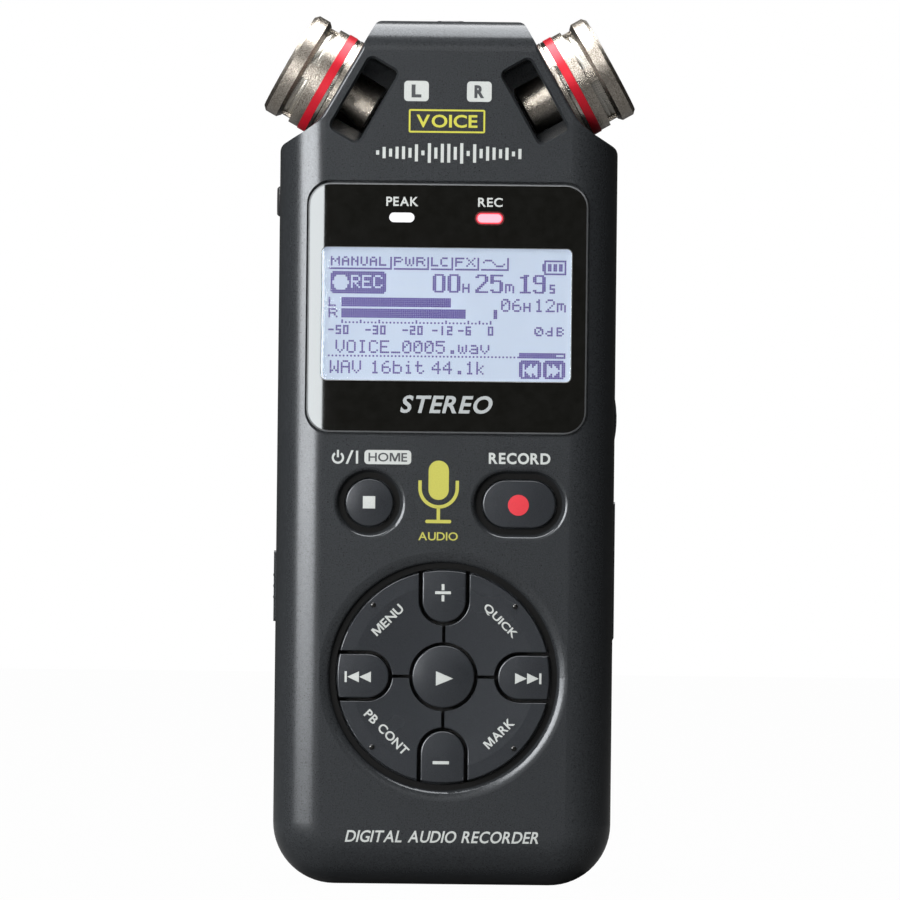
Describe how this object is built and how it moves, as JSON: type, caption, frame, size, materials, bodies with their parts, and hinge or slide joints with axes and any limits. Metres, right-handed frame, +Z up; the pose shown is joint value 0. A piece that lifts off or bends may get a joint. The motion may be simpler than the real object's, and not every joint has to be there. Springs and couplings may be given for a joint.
{
  "type": "handheld voice recorder",
  "caption": "Slim handheld stereo recorder with angled microphones, a display window, a round key dial, thumb keys, a battery bay and a tripod bush.",
  "frame": {"origin": "middle of the bottom end, half way through the depth", "axes": "+Z up along the length, +X to the right seen from the front, the front faces -Y"},
  "size_m": [0.0604, 0.026, 0.1414],
  "materials": {
    "front_paint": "satin metallic grey paint on plastic",
    "rear_plastic": "fine-textured black plastic",
    "window_black": "gloss black acrylic with a clear display area",
    "lcd_glass": "lit grey-blue liquid crystal display",
    "light_box": "white diffuser",
    "flex": "amber polyimide",
    "light_guide": "clear acrylic",
    "key_plastic": "satin dark grey",
    "rubber": "silicone rubber",
    "circuit_board": "green solder mask",
    "component_black": "moulded epoxy",
    "steel": "plated spring steel",
    "nickel": "blasted nickel plating",
    "red_anodised": "red anodised",
    "mesh": "fine woven mesh",
    "capsule": "plain",
    "jack_black": "moulded black",
    "speaker_cone": "coated paper and steel basket",
    "brass": "plated",
    "cell": "printed steel can"
  },
  "bodies": {
    "body": {"front_case": "front_paint", "rear_case": "rear_plastic", "display_window": "window_black", "lcd_glass": "lcd_glass", "lcd_backlight": "light_box", "lcd_ribbon": "flex", "light_guides": "light_guide", "key_mat": "rubber", "key_domes": "steel", "key_board": "circuit_board", "main_board": "circuit_board", "board_chips": "component_black", "headphone_jack": "jack_black", "mic_in_jack": "jack_black", "usb_port": "steel", "card_socket": "steel", "card_cover_pin": "steel", "hold_switch": "component_black", "speaker": "speaker_cone", "tripod_insert": "brass", "battery_cells": "cell", "battery_springs": "steel", "battery_contacts": "steel", "case_screws": "steel", "left_mic_housing": "nickel", "left_mic_trim_ring": "nickel", "left_mic_colour_ring": "red_anodised", "left_mic_cage": "nickel", "left_mic_mesh": "mesh", "left_mic_capsule": "capsule", "left_mic_gasket": "rubber", "right_mic_housing": "nickel", "right_mic_trim_ring": "nickel", "right_mic_colour_ring": "red_anodised", "right_mic_cage": "nickel", "right_mic_mesh": "mesh", "right_mic_capsule": "capsule", "right_mic_gasket": "rubber"},
    "stop_home_key": {"stop_home_key": "key_plastic"},
    "record_key": {"record_key": "key_plastic"},
    "play_key": {"play_key": "key_plastic"},
    "plus_key": {"plus_key": "key_plastic"},
    "back_key": {"back_key": "key_plastic"},
    "minus_key": {"minus_key": "key_plastic"},
    "forward_key": {"forward_key": "key_plastic"},
    "quick_key": {"quick_key": "key_plastic"},
    "menu_key": {"menu_key": "key_plastic"},
    "playback_control_key": {"playback_control_key": "key_plastic"},
    "mark_key": {"mark_key": "key_plastic"},
    "hold_slider": {"hold_slider": "key_plastic"},
    "card_cover": {"card_cover": "front_paint"},
    "battery_cover": {"battery_cover": "rear_plastic"}
  },
  "joints": [
    {"name": "stop_home_press", "type": "slide", "parent": "body", "child": "stop_home_key", "axis": [0, 1, 0], "range_m": [0, 0.0004], "stiffness_N_per_m": 600},
    {"name": "record_press", "type": "slide", "parent": "body", "child": "record_key", "axis": [0, 1, 0], "range_m": [0, 0.0004], "stiffness_N_per_m": 600},
    {"name": "play_press", "type": "slide", "parent": "body", "child": "play_key", "axis": [0, 1, 0], "range_m": [0, 0.0004], "stiffness_N_per_m": 600},
    {"name": "plus_press", "type": "slide", "parent": "body", "child": "plus_key", "axis": [0, 1, 0], "range_m": [0, 0.0004], "stiffness_N_per_m": 600},
    {"name": "back_press", "type": "slide", "parent": "body", "child": "back_key", "axis": [0, 1, 0], "range_m": [0, 0.0004], "stiffness_N_per_m": 600},
    {"name": "minus_press", "type": "slide", "parent": "body", "child": "minus_key", "axis": [0, 1, 0], "range_m": [0, 0.0004], "stiffness_N_per_m": 600},
    {"name": "forward_press", "type": "slide", "parent": "body", "child": "forward_key", "axis": [0, 1, 0], "range_m": [0, 0.0004], "stiffness_N_per_m": 600},
    {"name": "quick_press", "type": "slide", "parent": "body", "child": "quick_key", "axis": [0, 1, 0], "range_m": [0, 0.0004], "stiffness_N_per_m": 600},
    {"name": "menu_press", "type": "slide", "parent": "body", "child": "menu_key", "axis": [0, 1, 0], "range_m": [0, 0.0004], "stiffness_N_per_m": 600},
    {"name": "playback_control_press", "type": "slide", "parent": "body", "child": "playback_control_key", "axis": [0, 1, 0], "range_m": [0, 0.0004], "stiffness_N_per_m": 600},
    {"name": "mark_press", "type": "slide", "parent": "body", "child": "mark_key", "axis": [0, 1, 0], "range_m": [0, 0.0004], "stiffness_N_per_m": 600},
    {"name": "hold_slide", "type": "slide", "parent": "body", "child": "hold_slider", "axis": [0, 0, 1], "range_m": [-0.0018, 0.0018]},
    {"name": "card_cover_hinge", "type": "hinge", "parent": "body", "child": "card_cover", "pos_m": [0.0271, -0.0031, 0.0406], "axis": [0, 1, 0], "range_deg": [0, 95]},
    {"name": "battery_cover_slide", "type": "slide", "parent": "body", "child": "battery_cover", "axis": [0, 0, -1], "range_m": [0, 0.006]}
  ]
}
